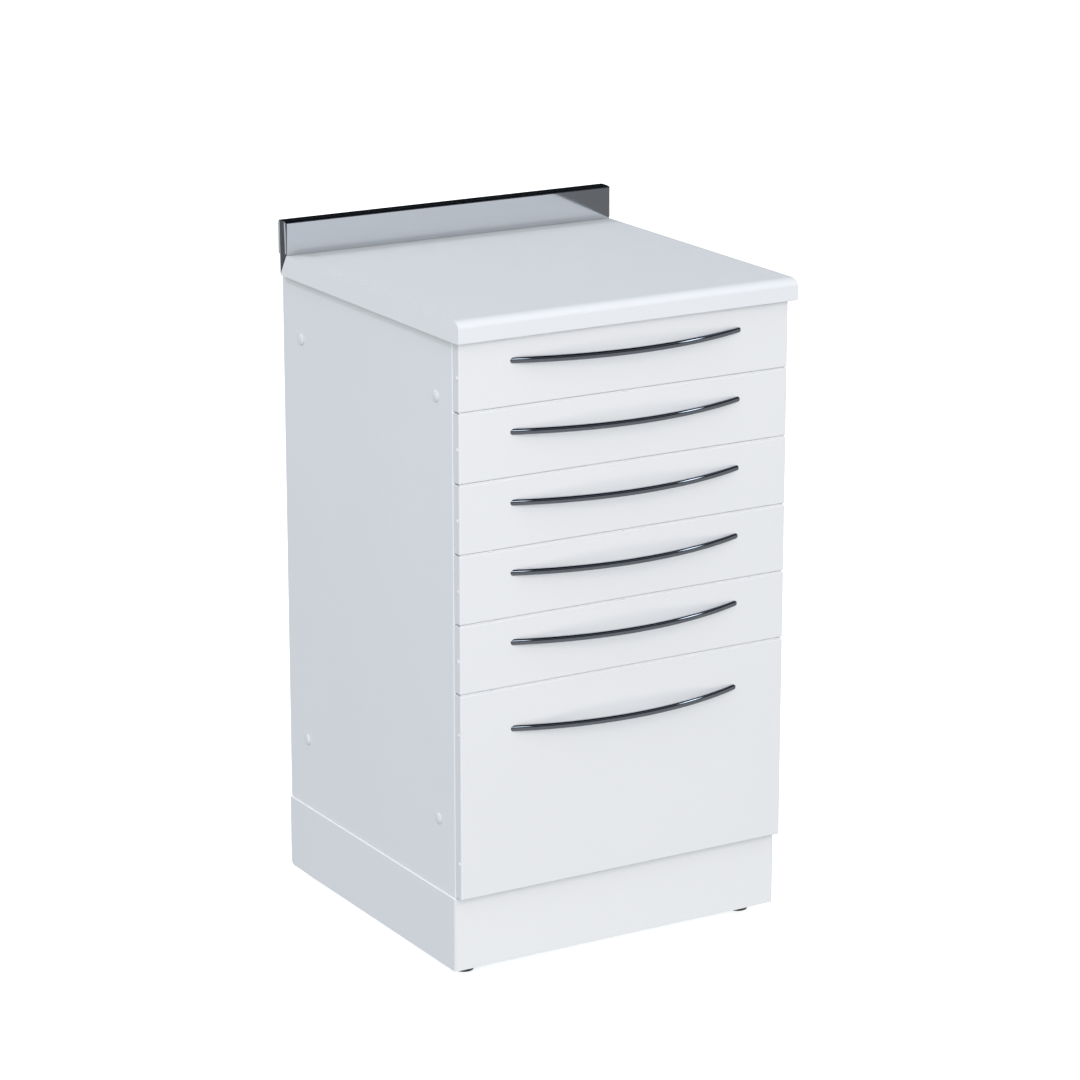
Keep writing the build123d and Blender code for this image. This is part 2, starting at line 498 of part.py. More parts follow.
# ----------------------------------------------------------------------------
# Drawers: folded front pan, box with its inner front skin, rivets and handle
# ----------------------------------------------------------------------------
RIVET_Y = YF + 5.4
FT = 1.2
EDGE_R = 1.6
BEAD = 1.6
STUD_X = HANDLE_L / 2 - 9.5
for n, (zb, zt) in enumerate(fronts, 1):
    zc = (zb + zt) / 2
    hz = handle_z[n - 1]
    if n == 6:
        rivets = [zt - 52.0, zb + 47.5]
    else:
        rivets = [SEAMS[n - 1] + 43.7]
    with BuildPart() as drawer_front:
        with BuildSketch(Plane.XZ.offset(-YF)):
            with Locations((0, zc)):
                Rectangle(FRONT_W, zt - zb)
        extrude(amount=-FRONT_T)
        fillet(drawer_front.faces().sort_by(Axis.Y)[0].edges(), radius=EDGE_R)
        fillet(drawer_front.edges().filter_by(Axis.Y), radius=0.8)
        with BuildSketch(Plane.XZ.offset(-(YF + FT))):
            with Locations((0, zc)):
                Rectangle(FRONT_W - 2 * FT, zt - zb - 2 * FT)
        extrude(amount=-FRONT_T, mode=Mode.SUBTRACT)
        # raised bead along the top edge, it closes the joint to the front above but for 0.6 mm
        if n > 1:
            with BuildSketch(Plane.XZ.offset(-(YF + 2.0))):
                with Locations((0, zt + BEAD / 2 - 0.2)):
                    Rectangle(FRONT_W - 3.4, BEAD + 0.4)
            extrude(amount=-1.6)
        for s in (-1, 1):
            for z in rivets:
                with BuildSketch(Plane(origin=(s * (FRONT_W / 2 + 1), RIVET_Y, z), x_dir=(0, 1, 0), z_dir=(-s, 0, 0))):
                    Circle(1.65)
                extrude(amount=5, mode=Mode.SUBTRACT)
            with BuildSketch(Plane.XZ.offset(-(YF - 1))):
                with Locations((s * STUD_X, hz)):
                    Circle(2.1)
            extrude(amount=-5, mode=Mode.SUBTRACT)
    drawer_front.part.label = f"drawer_front_{n}"
    export_step(drawer_front.part, f"parts/drawer_front_{n}.step")

    # box: inner front skin with its forward flanges, bottom, sides, back, hems
    ix, iz0, iz1 = FRONT_W / 2 - FT - 0.25, zb + FT + 0.25, zt - FT - 0.25
    b0 = zb + BOX_LIFT
    b1 = b0 + BOX_H[n - 1]
    with BuildPart() as drawer_box:
        with BuildSketch(Plane.XZ.offset(-(BOX_Y0 - BOX_T))):
            with Locations((0, (iz0 + iz1) / 2)):
                Rectangle(2 * ix, iz1 - iz0)
        extrude(amount=-BOX_T)
        for s in (-1, 1):
            with BuildSketch(Plane.XZ.offset(-(YF + 2.6))):
                with Locations((s * (ix - BOX_T / 2), (iz0 + iz1) / 2)):
                    Rectangle(BOX_T, iz1 - iz0)
            extrude(amount=-(FRONT_T - 2.6))
            for z in rivets:
                with BuildSketch(Plane(origin=(s * (ix + 1), RIVET_Y, z), x_dir=(0, 1, 0), z_dir=(-s, 0, 0))):
                    Circle(1.65)
                extrude(amount=4, mode=Mode.SUBTRACT)
        # bottom and back
        with BuildSketch(Plane.XY.offset(b0)):
            with Locations((0, (BOX_Y0 + BOX_Y1) / 2)):
                Rectangle(BOX_W, BOX_Y1 - BOX_Y0)
        extrude(amount=BOX_T)
        with BuildSketch(Plane.XZ.offset(-BOX_Y1)):
            with Locations((0, (b0 + b1) / 2)):
                Rectangle(BOX_W, b1 - b0)
        extrude(amount=BOX_T)
        # sides with an inward hem along the top
        for s in (-1, 1):
            with BuildSketch(Plane.XY.offset(b0)):
                with Locations((s * (BOX_X - BOX_T / 2), (BOX_Y0 + BOX_Y1) / 2)):
                    Rectangle(BOX_T, BOX_Y1 - BOX_Y0)
            extrude(amount=b1 - b0)
            with BuildSketch(Plane.XY.offset(b1 - 2.4)):
                with Locations((s * (BOX_X - HEM / 2), (BOX_Y0 + BOX_Y1) / 2)):
                    Rectangle(HEM, BOX_Y1 - BOX_Y0)
            extrude(amount=2.4)
        with BuildSketch(Plane.XY.offset(b1 - 2.4)):
            with Locations((0, BOX_Y1 - HEM / 2)):
                Rectangle(BOX_W, HEM)
        extrude(amount=2.4)
    drawer_box.part.label = f"drawer_box_{n}"
    export_step(drawer_box.part, f"parts/drawer_box_{n}.step")

    # rivets through both side flanges
    with BuildPart() as front_rivets:
        for s in (-1, 1):
            for z in rivets:
                face = Plane(origin=(s * FRONT_W / 2, RIVET_Y, z), x_dir=(0, 0, 1), z_dir=(0, s, 0))
                with BuildSketch(face):
                    with BuildLine():
                        Polyline((0, 0.9), (0, -4.0), (1.6, -4.0), (1.6, 0.0), (2.6, 0.0))
                        TangentArc((0, 0.9), (2.6, 0.0), tangent=(1, 0))
                    make_face()
                revolve(axis=Axis((s * FRONT_W / 2, RIVET_Y, z), (1, 0, 0)), revolution_arc=360)
    front_rivets.part.label = f"front_rivets_{n}"
    export_step(front_rivets.part, f"parts/front_rivets_{n}.step")

    # bow handle: crescent in plan, rounded section, two studs through the front
    hl = HANDLE_L / 2
    with BuildPart() as handle:
        with BuildSketch(Plane.XY.offset(hz - HANDLE_H / 2)):
            with BuildLine():
                ThreePointArc((-hl, YF), (0, YF - HANDLE_OUT), (hl, YF))
                Line((hl, YF), (hl - 15.0, YF))
                ThreePointArc((hl - 15.0, YF), (0, YF - HANDLE_OUT + HANDLE_DEEP), (-hl + 15.0, YF))
                Line((-hl + 15.0, YF), (-hl, YF))
            make_face()
        extrude(amount=HANDLE_H)
        arcs = handle.edges().filter_by(GeomType.CIRCLE)
        outer = arcs.sort_by(SortBy.LENGTH)[-2:]
        fillet(outer.sort_by(Axis.Z)[-1], radius=2.9)
        lower = handle.edges().filter_by(GeomType.CIRCLE).filter_by(
            lambda e: abs((e @ 0.5).Z - (hz - HANDLE_H / 2)) < 0.01).sort_by(SortBy.LENGTH)[-1]
        fillet(lower, radius=1.4)
        arcs = handle.edges().filter_by(GeomType.CIRCLE).filter_by(
            lambda e: abs((e @ 0.5).Y - (YF - HANDLE_OUT + HANDLE_DEEP)) < 0.3 and e.length > 200)
        inner = arcs.sort_by(SortBy.LENGTH)[:2]
        fillet(inner, radius=1.6)
        with BuildSketch(Plane.XZ.offset(-(YF + 1))):
            with Locations((0, hz)):
                SlotOverall(2 * hl, HANDLE_H + 0.001)
        extrude(amount=HANDLE_OUT + 10, mode=Mode.INTERSECT)
        with BuildSketch(Plane.XZ.offset(-(YF - 1.0))):
            with Locations((-STUD_X, hz), (STUD_X, hz)):
                Circle(2.0)
        extrude(amount=-8.0)
    handle.part.label = f"handle_{n}"
    export_step(handle.part, f"parts/handle_{n}.step")
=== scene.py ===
import math

import bmesh
import bpy
from mathutils import Matrix, Vector


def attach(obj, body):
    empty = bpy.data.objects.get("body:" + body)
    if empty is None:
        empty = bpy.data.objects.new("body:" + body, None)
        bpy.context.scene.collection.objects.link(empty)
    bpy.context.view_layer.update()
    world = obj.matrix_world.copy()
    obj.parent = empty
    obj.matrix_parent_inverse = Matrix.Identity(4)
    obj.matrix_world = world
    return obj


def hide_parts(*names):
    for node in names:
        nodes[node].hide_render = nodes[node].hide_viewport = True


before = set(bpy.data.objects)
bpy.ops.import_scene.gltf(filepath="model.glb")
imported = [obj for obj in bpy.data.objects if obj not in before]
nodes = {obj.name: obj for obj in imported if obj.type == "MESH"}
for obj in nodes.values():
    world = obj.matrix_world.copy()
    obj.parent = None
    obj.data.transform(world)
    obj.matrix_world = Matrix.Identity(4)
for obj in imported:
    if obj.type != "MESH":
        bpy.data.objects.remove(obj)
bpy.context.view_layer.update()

scene = bpy.context.scene

# ---------------------------------------------------------------------------
# Sizes taken over from the model, metres
# ---------------------------------------------------------------------------
YF = -0.2168                     # plane of the drawer faces
SEAMS = [0.7455, 0.6555, 0.5655, 0.4755, 0.3855]
WT_TOP = 0.8625

# Lights and surroundings
KEY_POWER, KEY_COL = 41.7, (1.0, 0.948, 0.938)
HIGH_POWER, HIGH_COL = 35.9, (0.971, 0.992, 1.0)
ZONE_COL = {
    "front": (1.262, 1.256, 1.263), "left": (1.080, 1.072, 1.110), "right": (0.512, 0.516, 0.529),
    "back": (0.322, 0.337, 0.376), "upper": (0.728, 0.789, 0.822), "lower": (0.258, 0.320, 0.322),
}
PAD_BODY, STEM_BODY = "foot_{}", "foot_screw_{}"

# ---------------------------------------------------------------------------
# Camera: the photograph's viewing angle
# ---------------------------------------------------------------------------
cam = bpy.data.cameras.new("camera")
cam.lens = 131.727
cam.sensor_width = 36.0
cam.clip_start, cam.clip_end = 0.1, 200.0
cam_ob = bpy.data.objects.new("camera", cam)
scene.collection.objects.link(cam_ob)
cam_ob.location = (-2.52778, -4.27125, 1.91421)
cam_ob.rotation_euler = (math.radians(90.0 - 15.9156), 0.0, math.radians(-30.6444))
scene.camera = cam_ob

scene.view_settings.view_transform = "Standard"
scene.view_settings.look = "None"
scene.view_settings.exposure = 0.0
scene.view_settings.gamma = 1.0


# ---------------------------------------------------------------------------
# Node helpers
# ---------------------------------------------------------------------------
class Tree:
    """A material's node tree, written one node at a time."""

    def __init__(self, name):
        self.mat = bpy.data.materials.new(name)
        self.mat.use_nodes = True
        self.tree = self.mat.node_tree
        self.tree.nodes.clear()
        self.out = self.node("ShaderNodeOutputMaterial")
        self.bsdf = self.node("ShaderNodeBsdfPrincipled")
        self.link(self.bsdf.outputs["BSDF"], self.out.inputs["Surface"])
        self.coord = self.node("ShaderNodeTexCoord").outputs["Object"]
        self.normal = None

    def node(self, kind, **values):
        n = self.tree.nodes.new(kind)
        for k, v in values.items():
            setattr(n, k, v)
        return n

    def link(self, a, b):
        self.tree.links.new(a, b)

    def put(self, **values):
        """Plain numbers and colours on the shader's own sockets."""
        for k, v in values.items():
            self.bsdf.inputs[k.replace("_", " ")].default_value = v

    def stretched(self, x, y, z, rot=(0, 0, 0)):
        m = self.node("ShaderNodeMapping")
        m.inputs["Scale"].default_value = (x, y, z)
        m.inputs["Rotation"].default_value = rot
        self.link(self.coord, m.inputs["Vector"])
        return m.outputs["Vector"]

    def noise(self, scale, detail=2.0, rough=0.5, vector=None, distortion=0.0):
        n = self.node("ShaderNodeTexNoise")
        n.inputs["Scale"].default_value = scale
        n.inputs["Detail"].default_value = detail
        n.inputs["Roughness"].default_value = rough
        n.inputs["Distortion"].default_value = distortion
        self.link(vector or self.coord, n.inputs["Vector"])
        return n.outputs["Fac"]

    def voronoi(self, scale, feature="F1", vector=None, randomness=1.0, out="Distance"):
        n = self.node("ShaderNodeTexVoronoi", feature=feature)
        n.inputs["Scale"].default_value = scale
        n.inputs["Randomness"].default_value = randomness
        self.link(vector or self.coord, n.inputs["Vector"])
        return n.outputs[out]

    def ramp(self, fac, stops):
        n = self.node("ShaderNodeValToRGB")
        els = n.color_ramp.elements
        while len(els) < len(stops):
            els.new(0.5)
        for e, (p, c) in zip(els, stops):
            e.position = p
            e.color = (c, c, c, 1.0) if isinstance(c, (int, float)) else (*c, 1.0)
        self.link(fac, n.inputs["Fac"])
        return n.outputs["Color"]

    def mix(self, fac, a, b, mode="MIX"):
        n = self.node("ShaderNodeMix", data_type="RGBA", blend_type=mode)
        for sock, v in ((n.inputs[0], fac), (n.inputs[6], a), (n.inputs[7], b)):
            if isinstance(v, (int, float)):
                sock.default_value = v
            elif isinstance(v, tuple):
                sock.default_value = (*v, 1.0)
            else:
                self.link(v, sock)
        return n.outputs[2]

    def math(self, op, a, b=0.0, c=0.0, clamp=False):
        n = self.node("ShaderNodeMath", operation=op, use_clamp=clamp)
        for sock, v in zip(n.inputs, (a, b, c)):
            if isinstance(v, (int, float)):
                sock.default_value = v
            else:
                self.link(v, sock)
        return n.outputs[0]

    def span(self, v, lo, hi, a=0.0, b=1.0):
        n = self.node("ShaderNodeMapRange")
        n.inputs["From Min"].default_value = a
        n.inputs["From Max"].default_value = b
        n.inputs["To Min"].default_value = lo
        n.inputs["To Max"].default_value = hi
        self.link(v, n.inputs["Value"])
        return n.outputs["Result"]

    def xyz(self):
        n = self.node("ShaderNodeSeparateXYZ")
        self.link(self.coord, n.inputs[0])
        return n.outputs

    def bump(self, height, distance, strength=1.0):
        n = self.node("ShaderNodeBump")
        n.inputs["Distance"].default_value = distance
        n.inputs["Strength"].default_value = strength
        self.link(height, n.inputs["Height"])
        if self.normal:
            self.link(self.normal, n.inputs["Normal"])
        self.normal = n.outputs["Normal"]
        self.link(self.normal, self.bsdf.inputs["Normal"])

    def colour(self, sock):
        self.link(sock, self.bsdf.inputs["Base Color"])

    def rough(self, sock):
        self.link(sock, self.bsdf.inputs["Roughness"])


# ---------------------------------------------------------------------------
# Materials
# ---------------------------------------------------------------------------
def powder_coat(name, light, dark, rough_lo, rough_hi, painted_light_boxes=()):
    """White powder coat on folded sheet: fine orange peel over slow waves of the sheet.

    The last argument holds boxes of (tone, ((axis, low, high), ...)) in |x|, y, z, each with a base colour of its own.
    They are corrections of tone: painted highlights, painted light and painted shade, not a different paint."""
    t = Tree(name)
    cloud = t.noise(5.0, 4.0, 0.55)
    fine = t.noise(2200.0, 2.0, 0.6)
    body = t.mix(t.span(cloud, 0.15, 0.85, 0.3, 0.7), dark, light)
    coat = t.mix(t.span(fine, 0.0, 0.10, 0.35, 0.7), body, tuple(c * 0.93 for c in dark))
    # painted highlights, painted light and painted shade laid over the coat colour, box by box
    if painted_light_boxes:
        x, y, z = t.xyz()
        where = {"x": t.math("ABSOLUTE", x), "y": y, "z": z}
        for tone, limits in painted_light_boxes:
            mask = None
            for axis, lo, hi in limits:
                m = t.math("MULTIPLY", t.math("GREATER_THAN", where[axis], lo), t.math("LESS_THAN", where[axis], hi))
                mask = m if mask is None else t.math("MULTIPLY", mask, m)
            coat = t.mix(mask, coat, tone)
    t.colour(coat)
    t.rough(t.span(t.noise(38.0, 3.0, 0.6), rough_lo, rough_hi, 0.3, 0.7))
    t.bump(t.noise(3.2, 2.0, 0.5), 0.0012, 0.35)
    t.bump(t.noise(520.0, 2.0, 0.5), 0.00006, 0.5)
    t.bump(fine, 0.00001, 0.4)
    t.put(IOR=1.5, Specular_IOR_Level=0.45)
    return t.mat


def laminate(name):
    t = Tree(name)
    grain = t.noise(900.0, 3.0, 0.65)
    pearl = t.voronoi(1500.0)
    base = t.mix(t.span(grain, 0.0, 1.0, 0.35, 0.65), (0.80, 0.815, 0.845), (0.835, 0.85, 0.875))
    t.colour(t.mix(t.span(t.noise(9.0, 3.0, 0.5), 0.0, 0.5, 0.35, 0.65), base, (0.815, 0.825, 0.845)))
    t.rough(t.span(t.noise(60.0, 3.0, 0.6), 0.42, 0.5, 0.3, 0.7))
    t.bump(pearl, 0.00002, 0.35)
    t.bump(grain, 0.00002, 0.35)
    t.put(Specular_IOR_Level=0.4)
    return t.mat


def chipboard(name):
    t = Tree(name)
    chips = t.voronoi(420.0, vector=t.stretched(1.0, 1.0, 3.2), out="Color")
    sep = t.node("ShaderNodeSeparateColor")
    t.link(chips, sep.inputs[0])
    col = t.ramp(sep.outputs[0], [(0.0, (0.36, 0.24, 0.13)), (0.3, (0.55, 0.40, 0.24)), (0.7, (0.70, 0.55, 0.36)), (1.0, (0.80, 0.68, 0.50))])
    dust = t.noise(1400.0, 3.0, 0.7)
    t.colour(t.mix(t.span(dust, 0.0, 0.45, 0.4, 0.7), col, (0.62, 0.48, 0.31)))
    t.rough(t.span(dust, 0.75, 0.95))
    t.bump(sep.outputs[1], 0.0003, 0.5)
    t.bump(dust, 0.0001, 0.5)
    return t.mat


def upstand_metal(name):
    """Satin anodised profile, lines of the extrusion along its length."""
    t = Tree(name)
    lines = t.noise(1.0, 3.0, 0.6, vector=t.stretched(3.0, 2600.0, 2600.0))
    patch = t.noise(14.0, 3.0, 0.5)
    t.colour(t.mix(t.span(lines, 0.0, 1.0, 0.3, 0.7), (0.70, 0.715, 0.745), (0.74, 0.755, 0.785)))
    t.rough(t.math("ADD", t.span(lines, 0.07, 0.10, 0.3, 0.7), t.span(patch, -0.008, 0.012, 0.3, 0.7)))
    t.bump(lines, 0.000006, 0.15)
    t.put(Metallic=1.0)
    return t.mat


def chrome(name):
    t = Tree(name)
    smear = t.noise(70.0, 3.0, 0.6)
    t.colour(t.mix(t.span(smear, 0.0, 1.0, 0.3, 0.7), (0.70, 0.73, 0.77), (0.78, 0.81, 0.84)))
    t.rough(t.span(t.noise(420.0, 4.0, 0.7), 0.02, 0.05, 0.3, 0.75))
    t.bump(t.noise(260.0, 2.0, 0.5), 0.000015, 0.25)
    t.put(Metallic=1.0)
    return t.mat


def moulded(name, colour, rough, peel=900.0, depth=0.00003):
    t = Tree(name)
    f = t.noise(peel, 3.0, 0.6)
    g = t.noise(55.0, 3.0, 0.55)
    t.colour(t.mix(t.span(g, 0.0, 1.0, 0.3, 0.7), tuple(c * 0.9 for c in colour), tuple(min(1.0, c * 1.08) for c in colour)))
    t.rough(t.span(f, rough - 0.05, rough + 0.06, 0.3, 0.7))
    t.bump(f, depth, 0.5)
    return t.mat


def zinc(name, dark, light, rough=0.33, spangle=True):
    t = Tree(name)
    cells = t.voronoi(150.0 if spangle else 600.0, out="Color")
    sep = t.node("ShaderNodeSeparateColor")
    t.link(cells, sep.inputs[0])
    lines = t.noise(1.0, 3.0, 0.6, vector=t.stretched(1500.0, 6.0, 1500.0))
    base = t.mix(t.span(sep.outputs[0], 0.0, 1.0), dark, light)
    t.colour(t.mix(t.span(lines, 0.0, 0.35, 0.35, 0.7), base, tuple(c * 0.8 for c in dark)))
    t.rough(t.math("ADD", t.span(sep.outputs[1], rough - 0.06, rough + 0.06), t.span(lines, 0.0, 0.06, 0.3, 0.7)))
    t.bump(lines, 0.00002, 0.3)
    t.put(Metallic=0.65)
    return t.mat


MATS = {
    "body": powder_coat("powder_coat_body", (0.815, 0.835, 0.865), (0.795, 0.815, 0.845), 0.36, 0.44, (
        # painted highlight: lighter coat along the rounded front edges of the side panels
        ((0.93, 0.94, 0.96), (("x", 0.2374, 0.25), ("y", -0.2020, -0.1992), ("z", 0.1135, 0.84))),
        # painted highlight: near-white line along the upper rim of the plinth
        ((0.97, 0.975, 0.985), (("x", 0.2390, 0.25), ("y", -0.30, 0.30), ("z", 0.1112, 0.1130))),
        # painted light: lighter plinth front, lifting the shade that falls under the drawer fronts
        ((0.865, 0.87, 0.89), (("x", -0.01, 0.2392), ("y", -0.25, -0.19), ("z", 0.010, 0.1125))))),
    "front": powder_coat("powder_coat_fronts", (0.845, 0.85, 0.87), (0.83, 0.837, 0.857), 0.34, 0.42, (
        # painted shade: darker, bluer side flanges of the drawer fronts
        ((0.755, 0.775, 0.815), (("x", 0.2394, 0.25), ("y", YF + 0.0024, -0.2000), ("z", 0.0, 0.84))),)),
    "laminate": laminate("laminate_white"),
    "board": chipboard("chipboard"),
    "upstand": upstand_metal("anodised_profile"),
    "chrome": chrome("chrome_plate"),
    "grey": moulded("dark_grey_plastic", (0.085, 0.09, 0.10), 0.42),
    "cap": moulded("white_plastic", (0.80, 0.815, 0.84), 0.38, 1500.0, 0.00001),
    "rivet": moulded("rivet_white", (0.89, 0.90, 0.92), 0.30, 1500.0, 0.00001),
    "rim": moulded("pale_seal", (0.50, 0.52, 0.55), 0.45, 700.0, 0.00002),
    "bead": moulded("silicone_white", (0.79, 0.80, 0.83), 0.4, 500.0, 0.00003),
    "zinc": zinc("zinc_plate", (0.52, 0.54, 0.56), (0.68, 0.70, 0.72)),
    "steel": zinc("screw_steel", (0.45, 0.46, 0.47), (0.58, 0.59, 0.60), 0.28, False),
    "foot": moulded("foot_plastic", (0.06, 0.065, 0.07), 0.5),
}


def material_for(name):
    if name.startswith(("side_panel", "back_panel", "bottom_panel", "plinth")):
        return MATS["body"]
    if name.startswith("front_rivets"):
        return MATS["rivet"]
    if name.startswith(("drawer_front", "drawer_box")):
        return MATS["front"]
    if name.startswith("handle"):
        return MATS["chrome"]
    if name.startswith("foot_pad"):
        return MATS["foot"]
    if name.startswith(("foot_stem", "carcass_screws")):
        return MATS["steel"]
    return {
        "worktop_core": MATS["board"], "worktop_laminate": MATS["laminate"],
        "upstand_profile": MATS["upstand"], "upstand_end_caps": MATS["grey"],
        "side_caps": MATS["cap"],
    }.get(name, MATS["zinc"])


for name, ob in nodes.items():
    mat = material_for(name)
    if not ob.material_slots:
        ob.data.materials.append(mat)
    for slot in ob.material_slots:
        slot.material = mat


# ---------------------------------------------------------------------------
# Mesh helpers
# ---------------------------------------------------------------------------
def add_piece(name, bm, mat, body, slot, *replaced, smooth=True, sharp=None):
    bmesh.ops.remove_doubles(bm, verts=bm.verts, dist=1e-6)
    bmesh.ops.recalc_face_normals(bm, faces=bm.faces)
    for f in bm.faces:
        f.smooth = smooth
    if sharp is not None:
        for e in bm.edges:
            if len(e.link_faces) == 2 and e.calc_face_angle(0.0) > sharp:
                e.smooth = False
    me = bpy.data.meshes.new(name)
    bm.to_mesh(me)
    bm.free()
    me.materials.append(mat)
    ob = bpy.data.objects.new(name, me)
    scene.collection.objects.link(ob)
    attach(ob, body)
    if replaced:
        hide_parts(*replaced)
    return ob


def skin(bm, rings, closed_ends=True):
    """Quads between rings of equal length, each ring a closed loop of points."""
    rows = [[bm.verts.new(p) for p in ring] for ring in rings]
    for a, b in zip(rows, rows[1:]):
        for k in range(len(a)):
            m = (k + 1) % len(a)
            bm.faces.new((a[k], a[m], b[m], b[k]))
    if closed_ends:
        bm.faces.new(rows[0])
        bm.faces.new(rows[-1][::-1])
    return rows


def lathe(bm, profile, frame_at, segs=64, ripple=None):
    """Profile of (radius, height) turned about the Z axis of the matrix frame_at."""
    rings = []
    for r, h in profile:
        ring = []
        for k in range(segs):
            a = 2 * math.pi * k / segs
            rr = r + (ripple(a, h) if ripple else 0.0)
            ring.append(frame_at @ Vector((rr * math.cos(a), rr * math.sin(a), h)))
        rings.append(ring)
    return skin(bm, rings)


def tilt(at, axis):
    """Matrix whose Z axis points along axis, at the point at."""
    return Matrix.Translation(Vector(at)) @ Vector(axis).to_track_quat("Z", "Y").to_matrix().to_4x4()


MM = 0.001

# ---------------------------------------------------------------------------
# Bow handles: rounded crescent bars, their feet flush on the front
# ---------------------------------------------------------------------------
HANDLE_Z = [0.804, 0.714, 0.624, 0.534, 0.444, 0.3309]
BOW_L, BOW_S, BOW_D, BOW_H = 168.25, 34.7, 5.2, 4.2
R_OUT = (BOW_L ** 2 + BOW_S ** 2) / (2 * BOW_S)
IN_L = BOW_L - 15.0
IN_S = BOW_S - BOW_D
R_IN = (IN_L ** 2 + IN_S ** 2) / (2 * IN_S)


def bow_section(x):
    """Closed loop of (inward depth, height) at station x, with the depth of the outer face."""
    out = math.sqrt(R_OUT ** 2 - x * x) - (R_OUT - BOW_S)
    inn = math.sqrt(R_IN ** 2 - x * x) - (R_IN - IN_S) if abs(x) < IN_L else 0.0
    deep = max(out - max(inn, 0.0), 0.004)
    flat = BOW_L - BOW_H
    h = BOW_H if abs(x) <= flat else math.sqrt(max(BOW_H ** 2 - (abs(x) - flat) ** 2, 0.01))
    r3 = 1.6 * min(1.0, max(0.0, (149.0 - abs(x)) / 10.0)) + 0.02
    pts = []

    def corner(r, sign, n, inner, tall=None):
        lim = deep - r3 if inner is False else None
        tall = tall or r
        res = []
        if inner is False:
            top = math.acos(max(-1.0, min(1.0, (r - min(r, max(lim, 0.0))) / r)))
            for k in range(n + 1):
                a = top * k / n
                res.append((r - r * math.cos(a), sign * (BOW_H - tall + tall * math.sin(a))))
        else:
            for k in range(n + 1):
                a = math.pi / 2 * k / n
                res.append((deep - r3 + r3 * math.sin(a), sign * (BOW_H - r3 + r3 * math.cos(a))))
        return res

    up = corner(3.5, 1, 16, False, 4.5)
    up_in = corner(r3, 1, 6, True)
    low = corner(1.4, -1, 8, False)
    low_in = corner(r3, -1, 6, True)
    # where the bar is thinner than its rounding, the inner edge ends on the rounding
    zt, zb = up[-1][1], low[-1][1]
    up_in = [(d, min(z, zt)) for d, z in up_in]
    low_in = [(d, max(z, zb)) for d, z in low_in]

    def between(a, b, cuts):
        return [(a[0] + (b[0] - a[0]) * c, a[1] + (b[1] - a[1]) * c) for c in cuts]

    loop = up + between(up[-1], up_in[0], (0.15, 0.5, 0.85)) + up_in
    loop += between(up_in[-1], low_in[-1], (0.1, 0.5, 0.9)) + low_in[::-1]
    loop += between(low_in[0], low[-1], (0.15, 0.5, 0.85)) + low[::-1]
    loop += between(low[0], up[0], (0.12, 0.5, 0.88))
    return out, [(d, max(-h, min(h, z))) for d, z in loop]


def bow(bm, zc):
    xs = []
    for k in range(141):
        xs.append(BOW_L * 0.96 * (2 * k / 140 - 1))
    tail = [BOW_L * (0.96 + 0.0396 * math.sin(math.pi / 2 * k / 22)) for k in range(1, 23)]
    xs = [-t for t in reversed(tail)] + xs + tail
    rings = []
    for x in xs:
        out, loop = bow_section(x)
        rings.append([(x * MM, YF - (out - d) * MM, zc + z * MM) for d, z in loop])
    skin(bm, rings)
    # threaded studs through the front
    for s in (-1, 1):
        prof = [(0.4, -0.2), (2.0, -0.2), (2.0, 1.3)]
        h = 1.3
        while h < 6.3:
            prof += [(2.0, h + 0.15), (1.72, h + 0.4), (2.0, h + 0.65)]
            h += 0.7
        prof += [(1.6, 7.0), (0.3, 7.0)]
        at = tilt((s * 158.75 * MM, YF, zc), (0, 1, 0))
        lathe(bm, [(r * MM, hh * MM) for r, hh in prof], at, 24)


for n, zc in enumerate(HANDLE_Z, 1):
    bm = bmesh.new()
    bow(bm, zc)
    add_piece(f"bow_handle_{n}", bm, MATS["chrome"], f"drawer_{n}", "chrome", f"handle_{n}", sharp=math.radians(55))

# ---------------------------------------------------------------------------
# Domed caps over the side screws
# ---------------------------------------------------------------------------
bm = bmesh.new()
CAP = [(0.02, 2.3)] + [(7.3 * math.sin(a), 0.7 + 1.6 * math.cos(a) ** 1.15) for a in [math.radians(t) for t in (8, 16, 24, 32, 40, 48, 56, 63, 70, 76, 82, 86)]]
CAP += [(7.3, 0.62), (7.3, 0.45), (7.18, 0.2), (6.9, 0.0), (4.7, 0.0), (4.7, 2.0), (0.02, 2.0)]
for s in (-1, 1):
    for y in (-0.1594, 0.1992):
        for z in (0.7563, 0.2076):
            lathe(bm, [(r * MM, h * MM) for r, h in CAP], tilt((s * 0.240, y, z), (s, 0, 0)), 56)
add_piece("screw_cap_domes", bm, MATS["cap"], "cabinet", "white_cap", "side_caps", sharp=math.radians(50))

# ---------------------------------------------------------------------------
# Heads of the rivets in the side flanges of the fronts
# ---------------------------------------------------------------------------
RIVETS = {1: [0.7892], 2: [0.6992], 3: [0.6092], 4: [0.5192], 5: [0.4292], 6: [0.3324, 0.1624]}
HEAD = [(0.02, 0.62), (0.55, 0.64), (0.75, 0.9), (1.2, 0.86), (1.8, 0.68), (2.3, 0.4), (2.55, 0.12), (2.6, 0.0), (1.2, -0.2), (0.02, -0.2)]
for n, heights in RIVETS.items():
    bm = bmesh.new()
    for s in (-1, 1):
        for z in heights:
            lathe(bm, [(r * MM, h * MM) for r, h in HEAD], tilt((s * 0.24005, YF + 0.0054, z), (s, 0, 0)), 40)
    add_piece(f"rivet_heads_{n}", bm, MATS["rivet"], f"drawer_{n}", "front_paint", sharp=math.radians(50))

